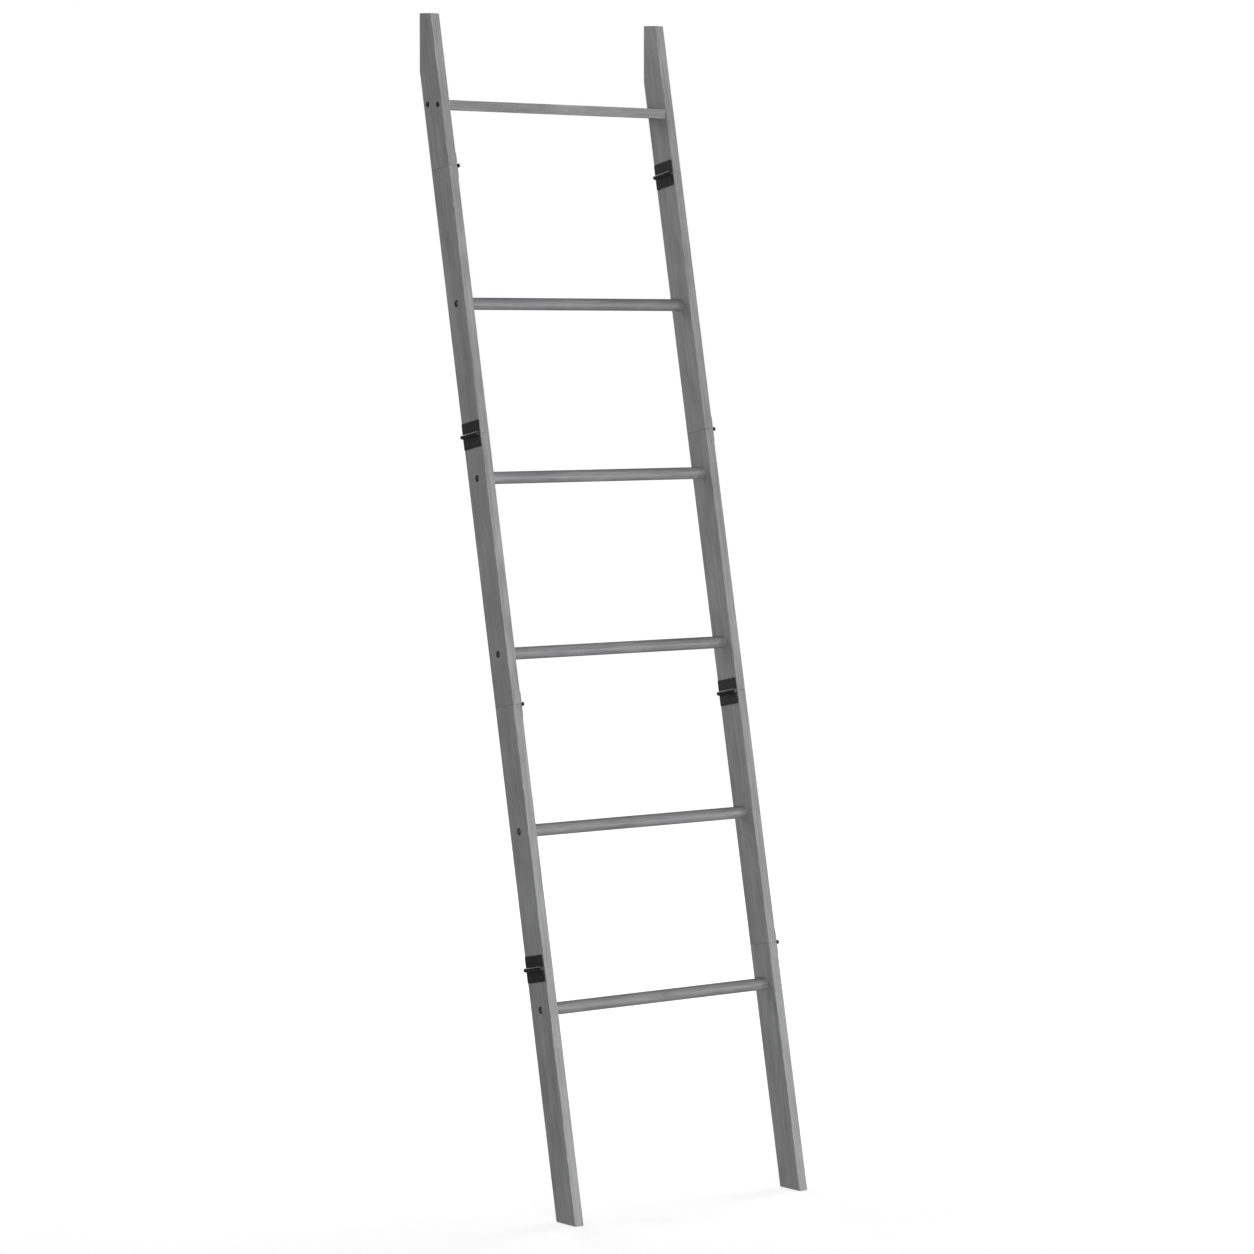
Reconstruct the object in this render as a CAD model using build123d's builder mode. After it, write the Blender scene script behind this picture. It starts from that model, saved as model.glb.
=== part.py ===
# Leaning blanket ladder: two hinged wooden rails, five dowel rungs, one flat top bar.
# Frame: +Z up, +X along the rungs, +Y towards the wall. The origin is on the floor,
# under the middle of the overall box. Millimetres.
import os
from math import cos, radians, sin

from build123d import *

# ---------------------------------------------------------------- driving dimensions
HEIGHT = 1830.0            # floor to the highest edge of the rail tops, at the wall
TOP_FALL = 3.0             # fall of the top cut towards the front, degrees
WIDTH = 457.0              # outer face to outer face of the two rails
LEAN = 11.25               # lean of the rails from upright, degrees
WALL_Y = 393.4             # front corner of the feet to the wall plane
RAIL_T = 16.0              # rail thickness, across the ladder
RAIL_D = 47.0              # rail depth, square to the lean
RAIL_R = 1.2               # rounding of the rail's long arrises
SEAM = 0.2                 # gap between two butted rail lengths
SEAM_EASE = 0.2            # eased edge at each butt end

# Stations along a rail, measured up the lean from the front corner of the foot.
S_HINGES = (390.0, 791.0, 1209.5, 1626.0)     # foot, lower, upper, top hinge pins
S_RUNGS = (327.6, 599.3, 870.8, 1142.5, 1414.1)
RUNG_D = 19.0              # dowel diameter
RUNG_EASE = 0.2
BAR_Z = 1688.5             # height of the middle of the top bar
BAR_Y = 360.0              # its middle, behind the front corner of the feet
BAR_FALL = 3.0             # fall of the bar towards the front, degrees, as the rail tops
BAR_T = 15.2               # thickness
BAR_D = 44.5               # depth
BAR_R = 1.2
BAR_SCREW_PITCH = 26.8     # between the two screws of one bar end

# Rung screws: domed head in a counterbore on the rail's outer face.
RS_HEAD_D, RS_HEAD_H, RS_RIM_H = 6.6, 2.6, 1.1
RS_SHANK_D, RS_LENGTH, RS_TIP = 4.0, 40.0, 4.0
RS_HOLE_D = 4.6            # clearance hole through the rail
RS_PILOT_D = 4.1           # hole in the rung end
RS_BORE_D, RS_BORE_H = 10.6, 3.6
BAR_BORE_D, BAR_BORE_H = 9.0, 6.4      # the top bar's screws are sunk deeper

# Butt hinges.
LEAF_W = 44.0              # along the pin
LEAF_H = 20.5              # pin plane to the free edge
PLATE_T = 1.5
PLATE_R = 1.8              # rounding of the free corners
KNUCKLE_R = 3.2
KNUCKLE_EASE = 0.5         # rounding of the barrel's two ends
ROOT_GAP = 0.4             # pin plane to the root of a knuckle
PIN_OFF = 3.4              # pin axis proud of the rail face
PIN_R = 1.5
PIN_HEAD_R, PIN_HEAD_H = 2.4, 0.9
BORE_TIGHT = 0.01          # radial clearance of the pin in the lower leaf
BORE_RUN = 0.05            # radial clearance of the pin in the upper leaf
KNUCKLE_GAP = 0.3          # between neighbouring knuckles
PLATE_CLEAR = 0.4          # plate edge to the other leaf's knuckles
N_KNUCKLES = 5             # three on the lower leaf, two on the upper leaf
HS_PITCH = 27.0            # the two screws of one leaf
HS_S = 13.0                # pin plane to the screws
HS_HEAD_D, HS_HEAD_H = 5.6, 1.4
HS_SHANK_D, HS_LENGTH, HS_TIP = 2.8, 12.0, 2.5
HS_PILOT_D = 2.9

# ---------------------------------------------------------------- derived
X_OUT = WIDTH / 2
X_IN = X_OUT - RAIL_T
A = radians(LEAN)
UP = Vector(0, sin(A), cos(A))                # up the rail
# Rail frame: local x across the ladder, y into the rail's depth, z up the rail.
RAIL = Plane(origin=(0, -WALL_Y / 2, 0), x_dir=(1, 0, 0), z_dir=UP)
FLOOR = Plane.XY
TOP = Plane(origin=(0, WALL_Y / 2, HEIGHT), x_dir=(1, 0, 0),
            z_dir=(0, -sin(radians(TOP_FALL)), cos(radians(TOP_FALL))))
WALL = Plane(origin=(0, WALL_Y / 2, 0), x_dir=(1, 0, 0), z_dir=(0, 1, 0))
BAR_C = Vector(0, BAR_Y - WALL_Y / 2, BAR_Z)
BAR_BACK = Vector(0, cos(radians(BAR_FALL)), sin(radians(BAR_FALL)))   # through the bar's depth
S_TOP = HEIGHT / cos(A)
HINGE_NAMES = ("foot", "lower", "upper", "top")
HINGE_FACES = ("outer", "inner", "outer", "inner")
LENGTH_NAMES = ("foot", "lower", "middle", "upper", "top")
SIDES = {"left": -1, "right": 1}


def at(x, depth, s):
    """Point at x across, depth into the rail and station s up the rail."""
    return RAIL.from_local_coords(Vector(x, depth, s))


def face_plane(x, normal, depth, s):
    """Plane on a rail face, z outwards, x up the rail."""
    return Plane(origin=at(x, depth, s), x_dir=UP, z_dir=(normal, 0, 0))


def hinge_face(side, j):
    """Position and outward normal of the rail face that carries hinge j."""
    if HINGE_FACES[j] == "outer":
        return side * X_OUT, side
    return side * X_IN, -side


def rung_screw_planes(side):
    """Planes of the rung screws on one rail, on its outer face, by rung name."""
    planes = {}
    for k, s in enumerate(S_RUNGS):
        planes["rung_%d" % (k + 1)] = [face_plane(side * X_OUT, side, RAIL_D / 2, s)]
    planes["top_bar"] = [
        Plane(origin=Vector(side * X_OUT, 0, 0) + BAR_C + BAR_BACK * d, x_dir=UP, z_dir=(side, 0, 0))
        for d in (-BAR_SCREW_PITCH / 2, BAR_SCREW_PITCH / 2)
    ]
    return planes


def bore_size(rung_name):
    """Diameter and depth of the counterbores of one rung's screws."""
    return (BAR_BORE_D, BAR_BORE_H) if rung_name == "top_bar" else (RS_BORE_D, RS_BORE_H)


def leaf_screw_planes(side, j, up):
    """Planes of one leaf's screws on the rail face; up is +1 or -1."""
    x, n = hinge_face(side, j)
    return [
        face_plane(x, n, RAIL_D / 2 + d, S_HINGES[j] + up * HS_S)
        for d in (-HS_PITCH / 2, HS_PITCH / 2)
    ]


os.makedirs("parts", exist_ok=True)

# ---------------------------------------------------------------- rail lengths
for side_name, side in SIDES.items():
    ends = [-30.0] + list(S_HINGES) + [S_TOP + 30.0]
    rung_planes = rung_screw_planes(side)
    for i, length_name in enumerate(LENGTH_NAMES):
        s0 = ends[i] + (SEAM / 2 if i > 0 else 0)
        s1 = ends[i + 1] - (SEAM / 2 if i < 4 else 0)
        with BuildPart() as rail:
            with BuildSketch(RAIL.offset(s0)):
                with Locations((side * (X_OUT + X_IN) / 2, RAIL_D / 2)):
                    RectangleRounded(RAIL_T, RAIL_D, RAIL_R)
            extrude(amount=s1 - s0)
            along = Axis(at(0, 0, 0), UP)
            if i > 0:
                chamfer(rail.faces().sort_by(along)[0].edges(), SEAM_EASE)
            if i < 4:
                chamfer(rail.faces().sort_by(along)[-1].edges(), SEAM_EASE)
            # foot cut level with the floor
            if i == 0:
                split(bisect_by=FLOOR, keep=Keep.TOP)
                chamfer(rail.faces().sort_by(Axis.Z)[0].edges(), 0.5)
            # top cut nearly level, and its back corner cut upright to lie on the wall
            if i == 4:
                split(bisect_by=TOP, keep=Keep.BOTTOM)
                split(bisect_by=WALL, keep=Keep.BOTTOM)
                chamfer(rail.faces().sort_by(Axis.Z)[-1].edges(), 0.5)
            # counterbored holes for the rung screws of this length
            for rung_name, planes in rung_planes.items():
                for p in planes:
                    s_here = RAIL.to_local_coords(p.origin).Z
                    if s0 < s_here < s1:
                        bore_d, bore_h = bore_size(rung_name)
                        with Locations(p):
                            CounterBoreHole(RS_HOLE_D / 2, bore_d / 2, bore_h, RAIL_T)
            # pilot holes for the hinge screws: upper leaf of the hinge below,
            # lower leaf of the hinge above
            for j, up in ((i - 1, 1), (i, -1)):
                if 0 <= j < 4:
                    for p in leaf_screw_planes(side, j, up):
                        with Locations(p):
                            Hole(HS_PILOT_D / 2, HS_LENGTH + 0.5)
        rail.part.label = "%s_rail_%s" % (side_name, length_name)
        export_step(rail.part, "parts/%s.step" % rail.part.label)

# ---------------------------------------------------------------- rungs
for k, s in enumerate(S_RUNGS):
    with BuildPart() as rung:
        with BuildSketch(Plane(origin=at(-X_IN, RAIL_D / 2, s), x_dir=(0, 1, 0), z_dir=(1, 0, 0))):
            Circle(RUNG_D / 2)
        extrude(amount=2 * X_IN)
        chamfer(rung.edges().filter_by(GeomType.CIRCLE), RUNG_EASE)
        for end in (-1, 1):
            with Locations(face_plane(end * X_IN, end, RAIL_D / 2, s)):
                Hole(RS_PILOT_D / 2, RS_LENGTH - RAIL_T + RS_BORE_H)
    rung.part.label = "rung_%d" % (k + 1)
    export_step(rung.part, "parts/%s.step" % rung.part.label)

with BuildPart() as top_bar:
    with BuildSketch(Plane(origin=Vector(-X_IN, 0, 0) + BAR_C, x_dir=BAR_BACK, z_dir=(1, 0, 0))):
        RectangleRounded(BAR_D, BAR_T, BAR_R)
    extrude(amount=2 * X_IN)
    for end in (-1, 1):
        for d in (-BAR_SCREW_PITCH / 2, BAR_SCREW_PITCH / 2):
            with Locations(Plane(origin=Vector(end * X_IN, 0, 0) + BAR_C + BAR_BACK * d, z_dir=(end, 0, 0))):
                Hole(RS_PILOT_D / 2, RS_LENGTH - RAIL_T + BAR_BORE_H)
top_bar.part.label = "top_bar"
export_step(top_bar.part, "parts/top_bar.step")

# ---------------------------------------------------------------- rung screws
for rung_name in list(rung_screw_planes(1)):
    with BuildPart() as rung_screws:
        for side in SIDES.values():
            for p in rung_screw_planes(side)[rung_name]:
                seat = p.offset(-bore_size(rung_name)[1])   # floor of the counterbore
                # domed head, turned about the screw's axis
                head_section = Plane(origin=seat.origin, x_dir=seat.x_dir,
                                     z_dir=seat.x_dir.cross(seat.z_dir))
                with BuildSketch(head_section):
                    with BuildLine():
                        Polyline((0, RS_HEAD_H), (0, 0), (RS_HEAD_D / 2, 0), (RS_HEAD_D / 2, RS_RIM_H))
                        TangentArc((0, RS_HEAD_H), (RS_HEAD_D / 2, RS_RIM_H), tangent=(1, 0))
                    make_face()
                revolve(axis=Axis(seat.origin, seat.z_dir))
                with Locations(seat):
                    Cylinder(RS_SHANK_D / 2, RS_LENGTH - RS_HEAD_H - RS_TIP,
                             align=(Align.CENTER, Align.CENTER, Align.MAX))
                with Locations(seat.offset(-(RS_LENGTH - RS_HEAD_H - RS_TIP))):
                    Cone(0.3, RS_SHANK_D / 2, RS_TIP,
                         align=(Align.CENTER, Align.CENTER, Align.MAX))
                # cross recess
                with Locations(seat.offset(RS_HEAD_H)):
                    Box(4.2, 0.9, 1.6, align=(Align.CENTER, Align.CENTER, Align.MAX), mode=Mode.SUBTRACT)
                    Box(0.9, 4.2, 1.6, align=(Align.CENTER, Align.CENTER, Align.MAX), mode=Mode.SUBTRACT)
    rung_screws.part.label = "%s_screws" % rung_name
    export_step(rung_screws.part, "parts/%s.step" % rung_screws.part.label)

# ---------------------------------------------------------------- hinges
pitch = LEAF_W / N_KNUCKLES
for side_name, side in SIDES.items():
    for j, hinge_name in enumerate(HINGE_NAMES):
        x, n = hinge_face(side, j)
        # section plane of the hinge: local x out of the rail face, y up the rail,
        # z along the pin, origin at mid-depth on the face
        section = Plane(origin=at(x, RAIL_D / 2, S_HINGES[j]), x_dir=(n, 0, 0),
                        z_dir=Vector(n, 0, 0).cross(UP))
        # plane through the pin's axis: local x out of the face, y along the pin
        axial = Plane(origin=section.from_local_coords(Vector(PIN_OFF, 0, 0)), x_dir=(n, 0, 0), z_dir=UP * -1)
        for leaf_name, up in (("lower_leaf", -1), ("upper_leaf", 1)):
            own = range(0, N_KNUCKLES, 2) if up < 0 else range(1, N_KNUCKLES, 2)
            bore = PIN_R + (BORE_TIGHT if up < 0 else BORE_RUN)
            root = KNUCKLE_R + PLATE_CLEAR        # plate edge beside the barrel
            with BuildPart() as leaf:
                # flat plate with rounded free corners and eased outer edges
                with BuildSketch(section):
                    with Locations((PLATE_T / 2, up * (root + LEAF_H) / 2)):
                        Rectangle(PLATE_T, LEAF_H - root)
                extrude(amount=LEAF_W / 2, both=True)
                free = leaf.faces().sort_by(Axis(section.origin, UP * up))[-1]
                fillet(free.edges().filter_by(Axis.X), PLATE_R)
                chamfer(leaf.faces().sort_by(Axis.X)[-1 if n > 0 else 0].edges(), 0.25)
                # knuckles, each rolled out of the plate
                for k in own:
                    z0 = -LEAF_W / 2 + k * pitch + (KNUCKLE_GAP / 2 if k > 0 else 0)
                    z1 = -LEAF_W / 2 + (k + 1) * pitch - (KNUCKLE_GAP / 2 if k < N_KNUCKLES - 1 else 0)
                    # the roll, turned about the pin, rounded where it ends the barrel
                    e0 = KNUCKLE_EASE if k == 0 else 0.1
                    e1 = KNUCKLE_EASE if k == N_KNUCKLES - 1 else 0.1
                    with BuildSketch(axial):
                        with BuildLine():
                            Polyline((KNUCKLE_R - e0, z0), (0, z0), (0, z1), (KNUCKLE_R - e1, z1))
                            RadiusArc((KNUCKLE_R - e1, z1), (KNUCKLE_R, z1 - e1), e1)
                            Line((KNUCKLE_R, z1 - e1), (KNUCKLE_R, z0 + e0))
                            RadiusArc((KNUCKLE_R, z0 + e0), (KNUCKLE_R - e0, z0), e0)
                        make_face()
                    revolve(axis=Axis(axial.origin, section.z_dir))
                    # its root in the plate
                    with BuildSketch(section.offset(z0 + e0)):
                        with BuildLine():
                            Polyline((0, up * ROOT_GAP), (PIN_OFF - KNUCKLE_R * 0.5, up * ROOT_GAP),
                                     (PIN_OFF - KNUCKLE_R * 0.3, up * KNUCKLE_R * 0.9),
                                     (PLATE_T, up * (root + 0.6)), (0, up * (root + 0.6)), close=True)
                        make_face()
                    extrude(amount=z1 - e1 - z0 - e0)
                # bore for the pin
                with BuildSketch(section):
                    with Locations((PIN_OFF, 0)):
                        Circle(bore)
                extrude(amount=LEAF_W / 2 + 1, both=True, mode=Mode.SUBTRACT)
                # countersunk screw holes
                for p in leaf_screw_planes(side, j, up):
                    with Locations(p.offset(PLATE_T)):
                        CounterSinkHole(HS_SHANK_D / 2 + 0.1, HS_HEAD_D / 2 + 0.1, PLATE_T + 1)
            leaf.part.label = "%s_%s_hinge_%s" % (side_name, hinge_name, leaf_name)
            export_step(leaf.part, "parts/%s.step" % leaf.part.label)

        with BuildPart() as pin:
            with BuildSketch(section):
                with Locations((PIN_OFF, 0)):
                    Circle(PIN_R)
            extrude(amount=LEAF_W / 2, both=True)
            for end in (-1, 1):
                with BuildSketch(section.offset(end * LEAF_W / 2)):
                    with Locations((PIN_OFF, 0)):
                        Circle(PIN_HEAD_R)
                extrude(amount=end * PIN_HEAD_H, taper=25)
        pin.part.label = "%s_%s_hinge_pin" % (side_name, hinge_name)
        export_step(pin.part, "parts/%s.step" % pin.part.label)

# ---------------------------------------------------------------- hinge screws
# One group for each length of rail; the two feet share one group.
groups = {"rail_foot_hinge_screws": [("left", 0, -1), ("right", 0, -1)]}
for side_name in SIDES:
    for i in range(1, 5):
        group = [(side_name, i - 1, 1)]
        if i < 4:
            group.append((side_name, i, -1))
        groups["%s_rail_%s_hinge_screws" % (side_name, LENGTH_NAMES[i])] = group

for group_name, leaves in groups.items():
    with BuildPart() as hinge_screws:
        for side_name, j, up in leaves:
            for p in leaf_screw_planes(SIDES[side_name], j, up):
                head = p.offset(PLATE_T)             # level with the plate
                with Locations(head):
                    Cone(HS_SHANK_D / 2, HS_HEAD_D / 2, HS_HEAD_H,
                         align=(Align.CENTER, Align.CENTER, Align.MAX))
                    Cylinder(HS_SHANK_D / 2, HS_LENGTH - HS_TIP,
                             align=(Align.CENTER, Align.CENTER, Align.MAX))
                with Locations(head.offset(-(HS_LENGTH - HS_TIP))):
                    Cone(0.25, HS_SHANK_D / 2, HS_TIP,
                         align=(Align.CENTER, Align.CENTER, Align.MAX))
                with Locations(head):
                    Box(3.0, 0.6, 1.0, align=(Align.CENTER, Align.CENTER, Align.MAX), mode=Mode.SUBTRACT)
                    Box(0.6, 3.0, 1.0, align=(Align.CENTER, Align.CENTER, Align.MAX), mode=Mode.SUBTRACT)
    hinge_screws.part.label = group_name
    export_step(hinge_screws.part, "parts/%s.step" % group_name)
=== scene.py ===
import math
import random

import bpy
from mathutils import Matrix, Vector


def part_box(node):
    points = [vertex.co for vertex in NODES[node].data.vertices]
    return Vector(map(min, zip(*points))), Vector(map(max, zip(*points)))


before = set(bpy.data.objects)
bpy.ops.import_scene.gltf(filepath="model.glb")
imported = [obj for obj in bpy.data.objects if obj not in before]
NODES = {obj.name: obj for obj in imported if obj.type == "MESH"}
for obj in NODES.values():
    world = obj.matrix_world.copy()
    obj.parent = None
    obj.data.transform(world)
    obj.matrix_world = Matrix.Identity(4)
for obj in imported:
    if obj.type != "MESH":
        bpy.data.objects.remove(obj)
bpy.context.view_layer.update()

# ---------------------------------------------------------------- sizes, in millimetres
LEAN = math.radians(11.25)
Y_FOOT = -196.7                       # front corner of the feet
RAIL_T, RAIL_D = 16.0, 47.0
X_MID = 228.5 - RAIL_T / 2            # middle of a rail
S_HINGES = {"foot": 390.0, "lower": 791.0, "upper": 1209.5, "top": 1626.0}
BAR_T, BAR_D = 15.2, 44.5
LEAF_HALF_W, LEAF_H, KNUCKLE_R, PIN_OFF = 22.0, 20.5, 3.2, 3.4


# ---------------------------------------------------------------- node helpers
class Graph:
    """A material's node tree, with short ways to add nodes."""

    def __init__(self, name):
        self.mat = bpy.data.materials.new(name)
        self.mat.use_nodes = True
        self.tree = self.mat.node_tree
        self.tree.nodes.clear()
        self.out = self.tree.nodes.new("ShaderNodeOutputMaterial")

    def put(self, socket, value):
        if isinstance(value, bpy.types.NodeSocket):
            self.tree.links.new(value, socket)
        elif value is not None:
            socket.default_value = value

    def node(self, kind, **props):
        n = self.tree.nodes.new(kind)
        for k, v in props.items():
            setattr(n, k, v)
        return n

    def math(self, op, a, b=None, c=None, clamp=False):
        n = self.node("ShaderNodeMath", operation=op, use_clamp=clamp)
        for s, v in zip(n.inputs, (a, b, c)):
            self.put(s, v)
        return n.outputs[0]

    def vmath(self, op, a, b=None, scale=None):
        n = self.node("ShaderNodeVectorMath", operation=op)
        self.put(n.inputs[0], a)
        self.put(n.inputs[1], b)
        if scale is not None:
            self.put(n.inputs["Scale"], scale)
        return n.outputs["Value"] if op in ("LENGTH", "DOT_PRODUCT") else n.outputs[0]

    def split(self, v):
        n = self.node("ShaderNodeSeparateXYZ")
        self.put(n.inputs[0], v)
        return n.outputs[0], n.outputs[1], n.outputs[2]

    def join(self, x, y, z):
        n = self.node("ShaderNodeCombineXYZ")
        for s, v in zip(n.inputs, (x, y, z)):
            self.put(s, v)
        return n.outputs[0]

    def noise(self, vector, detail=2.0, rough=0.5, distortion=0.0, colour=False):
        n = self.node("ShaderNodeTexNoise", noise_dimensions="3D")
        self.put(n.inputs["Vector"], vector)
        n.inputs["Scale"].default_value = 1.0
        n.inputs["Detail"].default_value = detail
        n.inputs["Roughness"].default_value = rough
        n.inputs["Distortion"].default_value = distortion
        return n.outputs["Color"] if colour else n.outputs[0]

    def step(self, value, lo, hi, a=0.0, b=1.0):
        """Smooth step from a at lo to b at hi."""
        n = self.node("ShaderNodeMapRange", interpolation_type="SMOOTHSTEP", clamp=True)
        self.put(n.inputs["Value"], value)
        for k, v in (("From Min", lo), ("From Max", hi), ("To Min", a), ("To Max", b)):
            n.inputs[k].default_value = v
        return n.outputs[0]

    def line(self, value, lo, hi, a, b, clamp=True):
        n = self.node("ShaderNodeMapRange", interpolation_type="LINEAR", clamp=clamp)
        self.put(n.inputs["Value"], value)
        for k, v in (("From Min", lo), ("From Max", hi), ("To Min", a), ("To Max", b)):
            n.inputs[k].default_value = v
        return n.outputs[0]

    def ramp(self, value, stops, mode="LINEAR"):
        n = self.node("ShaderNodeValToRGB")
        n.color_ramp.interpolation = mode
        el = n.color_ramp.elements
        while len(el) > 1:
            el.remove(el[-1])
        for i, (pos, col) in enumerate(stops):
            e = el[0] if i == 0 else el.new(pos)
            e.position = pos
            e.color = (*col, 1.0) if isinstance(col, tuple) else (col, col, col, 1.0)
        self.put(n.inputs[0], value)
        return n.outputs[0]

    def mix(self, factor, a, b):
        n = self.node("ShaderNodeMix", data_type="RGBA", blend_type="MIX")
        self.put(n.inputs[0], factor)
        for s, v in ((n.inputs[6], a), (n.inputs[7], b)):
            self.put(s, (*v, 1.0) if isinstance(v, tuple) else v)
        return n.outputs[2]

    def local(self, rotation, place):
        """Object coordinates turned into a piece's own frame, in millimetres. place is added after the turn."""
        tc = self.node("ShaderNodeTexCoord")
        m = self.node("ShaderNodeMapping", vector_type="POINT")
        self.put(m.inputs["Vector"], tc.outputs["Object"])
        m.inputs["Scale"].default_value = (1000.0, 1000.0, 1000.0)
        m.inputs["Rotation"].default_value = rotation
        m.inputs["Location"].default_value = place
        return m.outputs[0], tc.outputs["Normal"]

    def finish(self, colour, rough, height, bump_mm, bump, metallic=0.0, specular=0.5):
        b = self.node("ShaderNodeBsdfPrincipled")
        self.put(b.inputs["Base Color"], colour)
        self.put(b.inputs["Roughness"], rough)
        self.put(b.inputs["Metallic"], metallic)
        b.inputs["Specular IOR Level"].default_value = specular
        n = self.node("ShaderNodeBump")
        n.inputs["Strength"].default_value = bump
        n.inputs["Distance"].default_value = bump_mm / 1000.0
        self.put(n.inputs["Height"], height)
        self.tree.links.new(n.outputs[0], b.inputs["Normal"])
        self.tree.links.new(b.outputs[0], self.out.inputs["Surface"])
        return self.mat


def rail_frame(x_mid):
    """Turn and shift to a rail's own frame: x across its thickness, y through its depth, z up its length from the front corner of the foot."""
    c, s = math.cos(LEAN), math.sin(LEAN)
    return (LEAN, 0.0, 0.0), (-x_mid, -Y_FOOT * c - RAIL_D / 2, -Y_FOOT * s)


# ---------------------------------------------------------------- grey-stained wood
def wood(name, seed, rotation, place, half=None, tone=0.0, ring_mm=3.2, hole_shade_below=None, marks=()):
    """Grey-stained softwood, sanded and matt. z is the grain's direction in the piece's own frame.
    half is half the section's size, for a squared piece. Below a given station the walls and floors of the screw holes
    are painted near black as painted shade.
    marks gives, for each hinge on a rail, its pin's station and the side of the face: there the wood behind its barrel
    is painted near black as painted shade."""
    rnd = random.Random(seed)
    g = Graph(name)
    p, normal = g.local(rotation, place)
    q = g.vmath("ADD", p, tuple(rnd.uniform(-900.0, 900.0) for _ in range(3)))

    def stretched(across, along, **k):
        return g.noise(g.vmath("MULTIPLY", q, (1 / across, 1 / across, 1 / along)), **k)

    # growth rings round a pith that lies outside the piece, slightly askew
    warp = g.vmath("SUBTRACT", stretched(46.0, 420.0, detail=2.0, colour=True), (0.5, 0.5, 0.5))
    wx, wy, _ = g.split(g.vmath("SCALE", warp, scale=26.0))
    x, y, z = g.split(p)
    angle = rnd.uniform(0.0, 2 * math.pi)
    far = rnd.uniform(38.0, 75.0)
    skew = rnd.uniform(-0.012, 0.012)
    rx = g.math("ADD", g.math("MULTIPLY_ADD", z, skew, wx), g.math("SUBTRACT", x, far * math.cos(angle)))
    ry = g.math("ADD", wy, g.math("SUBTRACT", y, far * math.sin(angle)))
    radius = g.math("SQRT", g.math("ADD", g.math("MULTIPLY", rx, rx), g.math("MULTIPLY", ry, ry)))
    ring = g.math("FRACT", g.math("DIVIDE", radius, ring_mm * rnd.uniform(0.85, 1.25)))
    late = g.ramp(ring, [(0.0, 0.30), (0.12, 0.08), (0.55, 0.26), (0.82, 0.86), (0.93, 1.0), (1.0, 0.30)])

    fibre = stretched(0.55, 46.0, detail=3.0, rough=0.6)
    streak = stretched(2.4, 170.0, detail=3.0, rough=0.6)
    mottle = stretched(24.0, 70.0, detail=3.0, rough=0.6)
    cloud = stretched(70.0, 240.0, detail=2.0)
    fleck = g.step(stretched(0.42, 7.0, detail=1.0), 0.66, 0.76)

    def part(value, weight, middle=0.5):
        return g.math("MULTIPLY", g.math("SUBTRACT", value, middle), weight)

    t = g.math("ADD", part(fibre, 0.95), part(streak, 0.62))
    t = g.math("ADD", t, part(mottle, 0.50))
    t = g.math("ADD", t, part(cloud, 0.34))
    t = g.math("ADD", t, part(late, -0.15, 0.4))
    t = g.math("MULTIPLY_ADD", fleck, -0.26, t)
    t = g.math("ADD", t, 0.5 + tone)

    # the finish is rubbed a little lighter along the arrises, unevenly
    if half:
        ex = g.step(g.math("ABSOLUTE", x), half[0] - 1.9, half[0] - 0.3)
        ey = g.step(g.math("ABSOLUTE", y), half[1] - 1.9, half[1] - 0.3)
        rub = g.math("MULTIPLY", ex, ey)
        rub = g.math("MULTIPLY", rub, g.step(stretched(9.0, 26.0, detail=3.0), 0.36, 0.66))
        t = g.math("MULTIPLY_ADD", rub, 0.34, t)
    else:
        rub = 0.0

    # end grain takes more stain
    _, _, nz = g.split(g.node_normal(normal, rotation))
    end = g.step(g.math("ABSOLUTE", nz), 0.60, 0.90)
    t = g.math("MULTIPLY_ADD", end, -0.30, t)

    grey = g.ramp(t, [(0.0, (0.100, 0.100, 0.102)), (0.30, (0.166, 0.166, 0.168)), (0.50, (0.215, 0.215, 0.216)),
                      (0.72, (0.268, 0.268, 0.267)), (1.0, (0.345, 0.343, 0.339))])
    cool = g.mix(g.step(cloud, 0.35, 0.68), (1.0, 0.997, 0.988), (0.990, 0.996, 1.006))
    n = g.node("ShaderNodeMix", data_type="RGBA", blend_type="MULTIPLY")
    n.inputs[0].default_value = 1.0
    g.put(n.inputs[6], grey)
    g.put(n.inputs[7], cool)
    colour = n.outputs[2]
    # painted shade: inside the screw holes, below the given station, the wood is painted near black to stand in for the
    # shade in them
    if hole_shade_below:
        hole_shade = g.math("MULTIPLY", g.step(g.math("ABSOLUTE", x), half[0] - 0.15, half[0] - 0.35),
                      g.step(g.math("ABSOLUTE", y), half[1] - 0.15, half[1] - 0.35))
        hole_shade = g.math("MULTIPLY", hole_shade, g.step(g.math("ABSOLUTE", nz), 0.985, 0.96))
        hole_shade = g.math("MULTIPLY", hole_shade, g.step(z, hole_shade_below, hole_shade_below - 4.0))
        colour = g.mix(hole_shade, colour, (0.042, 0.042, 0.042))
    # painted shade: the wood behind each hinge barrel, seen between its knuckles, is painted near black to stand in for
    # the barrel's shade
    for s_pin, face in marks:
        barrel_shade = g.step(g.math("ABSOLUTE", g.math("SUBTRACT", z, s_pin)), KNUCKLE_R + 1.1, KNUCKLE_R + 0.5)
        barrel_shade = g.math("MULTIPLY", barrel_shade, g.step(g.math("ABSOLUTE", y), LEAF_HALF_W - 0.1, LEAF_HALF_W - 0.5))
        barrel_shade = g.math("MULTIPLY", barrel_shade, g.step(g.math("MULTIPLY", x, face), half[0] - 0.30, half[0] - 0.12))
        colour = g.mix(g.math("MULTIPLY", barrel_shade, 0.92), colour, (0.016, 0.016, 0.016))

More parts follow.
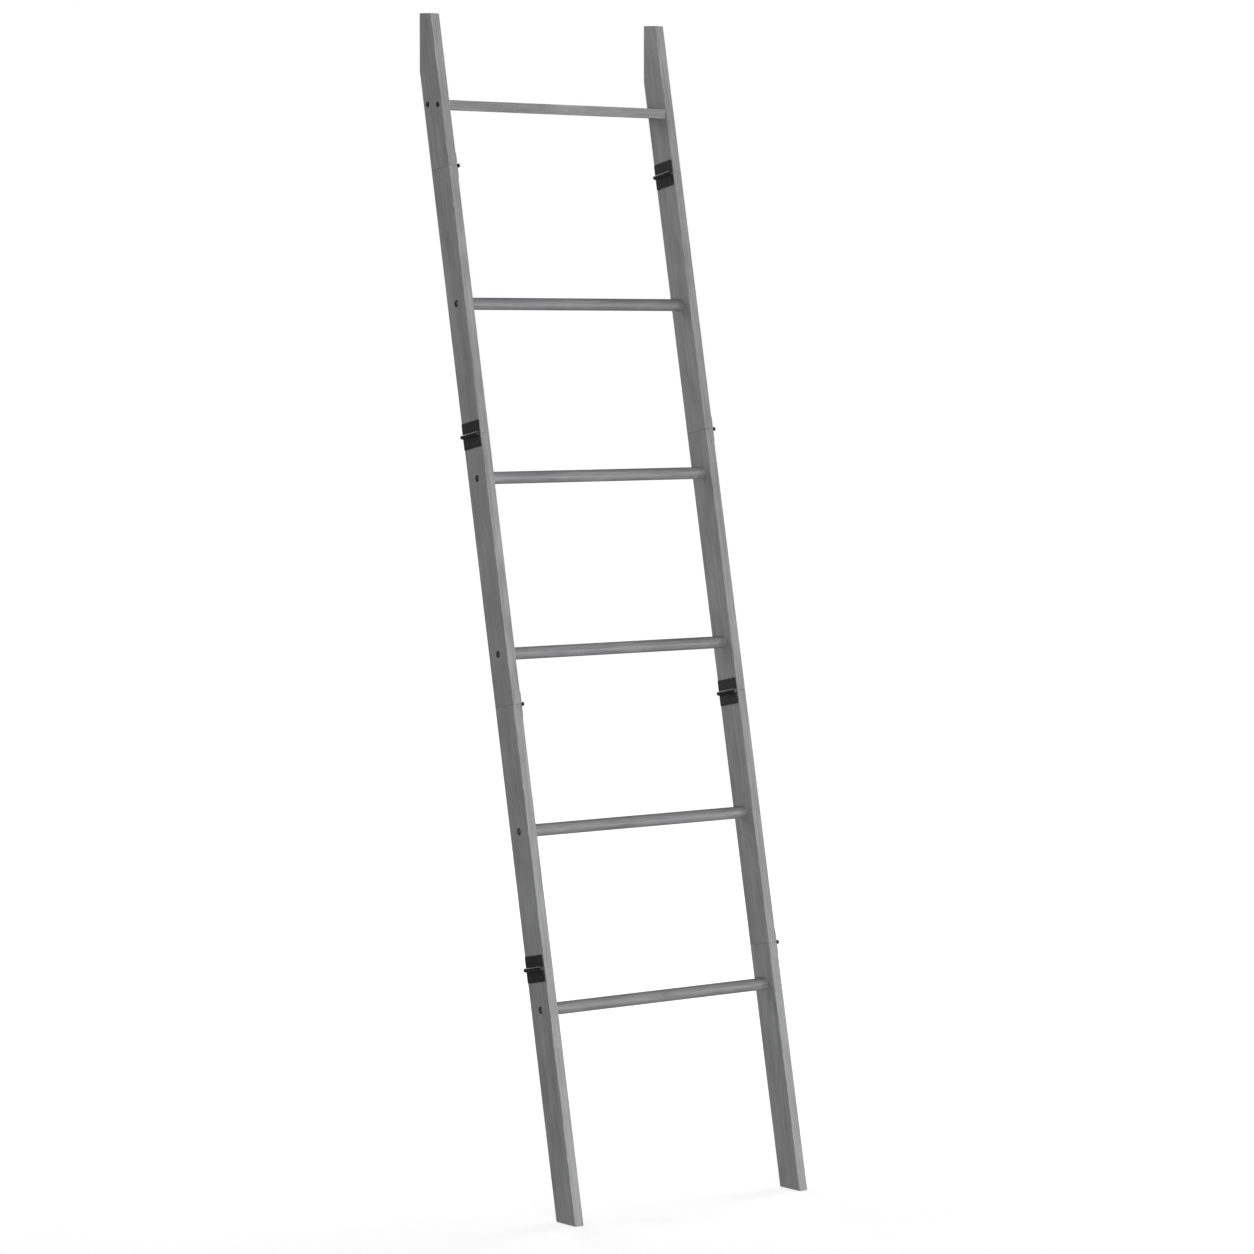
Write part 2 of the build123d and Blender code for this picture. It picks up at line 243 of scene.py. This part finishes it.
    rough = g.math("MULTIPLY_ADD", part(fibre, 1.0), 0.30, 0.53)
    rough = g.math("MULTIPLY_ADD", part(mottle, 1.0), 0.22, rough)
    rough = g.math("MULTIPLY_ADD", end, 0.14, rough, clamp=True)
    height = g.math("MULTIPLY_ADD", fleck, -0.55, fibre)
    height = g.math("MULTIPLY_ADD", late, 0.35, height)
    return g.finish(colour, rough, height, 0.22, 0.45, specular=0.40)


def node_normal(self, normal, rotation):
    m = self.node("ShaderNodeMapping", vector_type="VECTOR")
    self.put(m.inputs["Vector"], normal)
    m.inputs["Rotation"].default_value = rotation
    return m.outputs[0]


Graph.node_normal = node_normal


# ---------------------------------------------------------------- black hinges
def hinge_black(name, seed, s_pin, x_pin):
    """Satin black coat over steel: a fine orange-peel skin, thin on the plate's edges and rubbed on the barrel. Round
    the barrel's ends the rims are painted lighter, partly as worn coat and partly as a painted highlight.
    """
    rnd = random.Random(seed)
    g = Graph(name)
    rotation, place = rail_frame(0.0)
    p, _ = g.local(rotation, place)
    x, y, z = g.split(p)
    q = g.vmath("ADD", p, tuple(rnd.uniform(-400.0, 400.0) for _ in range(3)))
    peel = g.noise(g.vmath("SCALE", q, scale=1 / 0.9), detail=2.0)
    patch = g.noise(g.vmath("SCALE", q, scale=1 / 6.5), detail=3.0, rough=0.6)
    scuff = g.noise(g.vmath("MULTIPLY", q, (1 / 2.0, 1 / 7.0, 1 / 1.1)), detail=2.0)
    ds = g.math("ABSOLUTE", g.math("SUBTRACT", z, s_pin))
    dy = g.math("ABSOLUTE", y)
    edge = g.math("MAXIMUM", g.step(dy, LEAF_HALF_W - 0.75, LEAF_HALF_W - 0.05), g.step(ds, LEAF_H - 0.75, LEAF_H - 0.05))
    edge = g.math("MULTIPLY", edge, g.step(patch, 0.46, 0.66))
    barrel = g.step(ds, KNUCKLE_R + 0.2, KNUCKLE_R - 0.6)
    rubbed = g.math("MULTIPLY", barrel, g.step(scuff, 0.56, 0.74))
    # distance from the pin's axis, for the barrel's rounded end rims and the dull heads inside them
    dx = g.math("SUBTRACT", g.math("ABSOLUTE", x), x_pin)
    reach = g.math("SQRT", g.math("ADD", g.math("MULTIPLY", dx, dx), g.math("MULTIPLY", ds, ds)))
    tip = g.step(dy, LEAF_HALF_W - 0.45, LEAF_HALF_W - 0.15)
    # painted highlight, in part: the rims round the barrel's ends are painted toward bare metal, partly as worn coat
    # and partly standing in for the highlight along the rounded ends
    rim_wear_and_highlight = g.math("MULTIPLY", g.math("MULTIPLY", tip, barrel), g.step(reach, KNUCKLE_R - 0.75, KNUCKLE_R - 0.40))
    head = g.math("MULTIPLY", tip, g.step(reach, KNUCKLE_R - 0.45, KNUCKLE_R - 0.75))
    rim_wear_and_highlight = g.math("MULTIPLY", rim_wear_and_highlight, g.step(scuff, 0.30, 0.55))
    # the bare-metal colour covers the worn plate edges, the rubbed barrel, and the rims' mix of wear and painted
    # highlight
    bare_and_highlight = g.math("MAXIMUM", g.math("MULTIPLY", edge, 0.75), g.math("MULTIPLY", rubbed, 0.08), clamp=True)
    bare_and_highlight = g.math("MAXIMUM", bare_and_highlight, g.math("MULTIPLY", rim_wear_and_highlight, 0.6))
    coat = g.mix(g.step(patch, 0.30, 0.72), (0.0118, 0.0118, 0.0120), (0.0185, 0.0183, 0.0183))
    coat = g.mix(head, coat, (0.0060, 0.0060, 0.0062))
    colour = g.mix(bare_and_highlight, coat, (0.125, 0.124, 0.122))
    rough = g.line(patch, 0.3, 0.7, 0.38, 0.50)
    rough = g.math("MULTIPLY_ADD", barrel, -0.18, rough)
    rough = g.math("MULTIPLY_ADD", head, 0.45, rough, clamp=True)
    height = g.math("MULTIPLY_ADD", bare_and_highlight, -0.8, peel)
    height = g.math("MULTIPLY", height, g.math("MULTIPLY_ADD", barrel, -0.85, 1.0))
    return g.finish(colour, rough, height, 0.05, 0.35, specular=0.22)


def screw_metal(name, seed, dark, light, rough_lo, rough_hi, metallic):
    """Coated screw steel with fine turning marks and small scuffs."""
    rnd = random.Random(seed)
    g = Graph(name)
    tc = g.node("ShaderNodeTexCoord")
    q = g.vmath("ADD", g.vmath("SCALE", tc.outputs["Object"], scale=1000.0), tuple(rnd.uniform(-300.0, 300.0) for _ in range(3)))
    fine = g.noise(g.vmath("SCALE", q, scale=1 / 0.35), detail=2.0)
    patch = g.noise(g.vmath("SCALE", q, scale=1 / 2.2), detail=3.0, rough=0.6)
    colour = g.mix(g.step(patch, 0.34, 0.70), dark, light)
    rough = g.line(patch, 0.3, 0.7, rough_lo, rough_hi)
    return g.finish(colour, rough, fine, 0.03, 0.30, metallic=metallic, specular=0.45)


def give(node, mat):
    o = NODES[node]
    if not o.material_slots:
        o.data.materials.append(mat)
    for s in o.material_slots:
        s.material = mat


seed = 100
for side, sign in (("left", -1), ("right", 1)):
    for part in ("foot", "lower", "middle", "upper", "top"):
        seed += 1
        rotation, place = rail_frame(sign * X_MID)
        tone = {"left": {"foot": 0.035, "lower": -0.01, "middle": 0.0, "upper": 0.01, "top": -0.015},
                "right": {"foot": 0.0, "lower": -0.035, "middle": -0.055, "upper": -0.05, "top": -0.015}}[side][part]
        near = {"foot": ("foot",), "lower": ("foot", "lower"), "middle": ("lower", "upper"), "upper": ("upper", "top"), "top": ("top",)}[part]
        # marks: the hinges on this section whose barrels get painted shade on the wood behind them
        marks = [(S_HINGES[h], sign if h in ("foot", "upper") else -sign) for h in near]
        give(f"{side}_rail_{part}", wood(f"grey_wood_{side}_{part}", seed, rotation, place, (RAIL_T / 2, RAIL_D / 2), tone,
                                         hole_shade_below=1762.0, marks=marks))

for k in range(1, 6):
    lo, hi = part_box(f"rung_{k}")
    c = (lo + hi) * 500.0
    # quarter turn about Y: x' = z, y' = y, z' = -x
    tone = (-0.145, -0.145, -0.165, -0.155, -0.235)[k - 1]
    give(f"rung_{k}", wood(f"grey_wood_rung_{k}", 200 + k, (0.0, math.pi / 2, 0.0), (-c.z, -c.y, c.x), None, tone, 2.8))

lo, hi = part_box("top_bar")
c = (lo + hi) * 500.0
# the bar falls 3 degrees to the front: that turn comes before the quarter turn
fall = math.radians(3.0)
across, through = c.z * math.cos(fall) - c.y * math.sin(fall), c.y * math.cos(fall) + c.z * math.sin(fall)
give("top_bar", wood("grey_wood_top_bar", 230, (-fall, math.pi / 2, 0.0), (-across, -through, c.x), (BAR_T / 2, BAR_D / 2), -0.175))

black_screw = screw_metal("screw_black", 311, (0.012, 0.012, 0.0125), (0.026, 0.026, 0.026), 0.34, 0.50, 0.0)
zinc_screw = screw_metal("screw_zinc", 312, (0.135, 0.135, 0.138), (0.205, 0.205, 0.206), 0.40, 0.54, 0.30)
for i, (where, s_pin) in enumerate(S_HINGES.items()):
    x_pin = X_MID + (RAIL_T / 2 + PIN_OFF) * (1 if where in ("foot", "upper") else -1)
    mat = hinge_black(f"hinge_black_{where}", 300 + i, s_pin, x_pin)
    for side in ("left", "right"):
        for piece in ("lower_leaf", "upper_leaf", "pin"):
            give(f"{side}_{where}_hinge_{piece}", mat)
for n in NODES:
    if n.endswith("hinge_screws") or n == "top_bar_screws":
        give(n, black_screw)
    elif n.endswith("_screws"):
        give(n, zinc_screw)

# ---------------------------------------------------------------- floor, world and lights
bpy.ops.mesh.primitive_circle_add(vertices=96, radius=40.0, fill_type="NGON", location=(0.0, 0.0, -0.0004))
floor = bpy.context.object
floor.name = "studio_floor"
g = Graph("pale_floor")
tc = g.node("ShaderNodeTexCoord")
grainy = g.noise(g.vmath("SCALE", tc.outputs["Object"], scale=3.0), detail=3.0)
d = g.node("ShaderNodeBsdfDiffuse")
g.put(d.inputs["Color"], g.ramp(grainy, [(0.3, 0.445), (0.7, 0.455)]))
e = g.node("ShaderNodeEmission")
away = g.vmath("LENGTH", tc.outputs["Object"])
g.put(e.inputs["Color"], g.ramp(g.step(away, 0.9, 5.0), [(0.0, 0.725), (1.0, 1.0)]))
e.inputs["Strength"].default_value = 1.0
a = g.node("ShaderNodeAddShader")
g.tree.links.new(d.outputs[0], a.inputs[0])
g.tree.links.new(e.outputs[0], a.inputs[1])
g.tree.links.new(a.outputs[0], g.out.inputs["Surface"])
floor.data.materials.append(g.mat)
floor.visible_diffuse = False
floor.visible_glossy = False
floor.visible_shadow = False

world = bpy.data.worlds.new("studio")
bpy.context.scene.world = world
world.use_nodes = True
wt = world.node_tree
wt.nodes.clear()
wo = wt.nodes.new("ShaderNodeOutputWorld")
wm = wt.nodes.new("ShaderNodeMixShader")
lp = wt.nodes.new("ShaderNodeLightPath")
soft = wt.nodes.new("ShaderNodeBackground")
soft.inputs["Color"].default_value = (1.0, 1.0, 1.0, 1.0)
soft.inputs["Strength"].default_value = 1.0
# soft light all round, stronger from below, as a pale floor throws it back
way = wt.nodes.new("ShaderNodeTexCoord")
part = wt.nodes.new("ShaderNodeSeparateXYZ")
fade = wt.nodes.new("ShaderNodeMapRange")
fade.inputs["From Min"].default_value = -0.35
fade.inputs["From Max"].default_value = 0.25
fade.inputs["To Min"].default_value = 0.22
fade.inputs["To Max"].default_value = 0.08
wt.links.new(way.outputs["Generated"], part.inputs[0])
wt.links.new(part.outputs["Z"], fade.inputs["Value"])
wt.links.new(fade.outputs["Result"], soft.inputs["Color"])
white = wt.nodes.new("ShaderNodeBackground")
white.inputs["Color"].default_value = (1.0, 1.0, 1.0, 1.0)
white.inputs["Strength"].default_value = 1.0
wt.links.new(lp.outputs["Is Camera Ray"], wm.inputs[0])
wt.links.new(soft.outputs[0], wm.inputs[1])
wt.links.new(white.outputs[0], wm.inputs[2])
wt.links.new(wm.outputs[0], wo.inputs["Surface"])


def softbox(name, place, target, size, power):
    light = bpy.data.lights.new(name, "AREA")
    light.shape = "RECTANGLE"
    light.size, light.size_y = size
    light.energy = power
    o = bpy.data.objects.new(name, light)
    bpy.context.scene.collection.objects.link(o)
    o.location = place
    o.rotation_euler = (Vector(target) - Vector(place)).to_track_quat("-Z", "Y").to_euler()
    o.visible_camera = False
    return o


softbox("key_softbox", (-3.76, -8.06, 0.85), (0.0, 0.0, 0.95), (3.2, 1.6), 730.0)
softbox("left_softbox", (-6.00, 3.60, 4.00), (0.0, 0.0, 0.95), (2.4, 2.4), 96.0)
softbox("sheen_softbox", (3.90, -4.95, 0.45), (0.0, 0.0, 0.95), (2.2, 0.8), 184.0)
softbox("back_softbox", (0.35, 3.50, 2.80), (0.0, 0.0, 0.90), (2.4, 2.0), 56.0)
softbox("side_softbox", (3.40, 0.40, 2.40), (0.0, 0.0, 0.70), (1.8, 1.8), 56.0)
softbox("rear_softbox", (0.10, 4.40, 0.45), (0.0, 0.0, 0.90), (2.0, 0.8), 64.0)
softbox("hair_softbox", (0.00, 0.14, 2.35), (0.0, 0.16, 1.69), (0.8, 0.3), 1.3)

# ---------------------------------------------------------------- camera
cam_data = bpy.data.cameras.new("camera")
cam = bpy.data.objects.new("camera", cam_data)
bpy.context.scene.collection.objects.link(cam)
cam_data.sensor_fit = "AUTO"
cam_data.sensor_width = 36.0
cam_data.lens = 36.0 * 4299.5 / 1254.0
cam_data.dof.use_dof = False
cam_data.clip_end = 200.0
cam.location = (-4.0989, -5.2587, 1.3239)
az, pitch = math.radians(38.096), math.radians(3.794)
look = Vector((math.sin(az) * math.cos(pitch), math.cos(az) * math.cos(pitch), -math.sin(pitch)))
cam.rotation_euler = look.to_track_quat("-Z", "Y").to_euler()
bpy.context.scene.camera = cam

view = bpy.context.scene.view_settings
view.view_transform = "Standard"
view.look = "None"
view.exposure = 0.0
view.gamma = 1.0
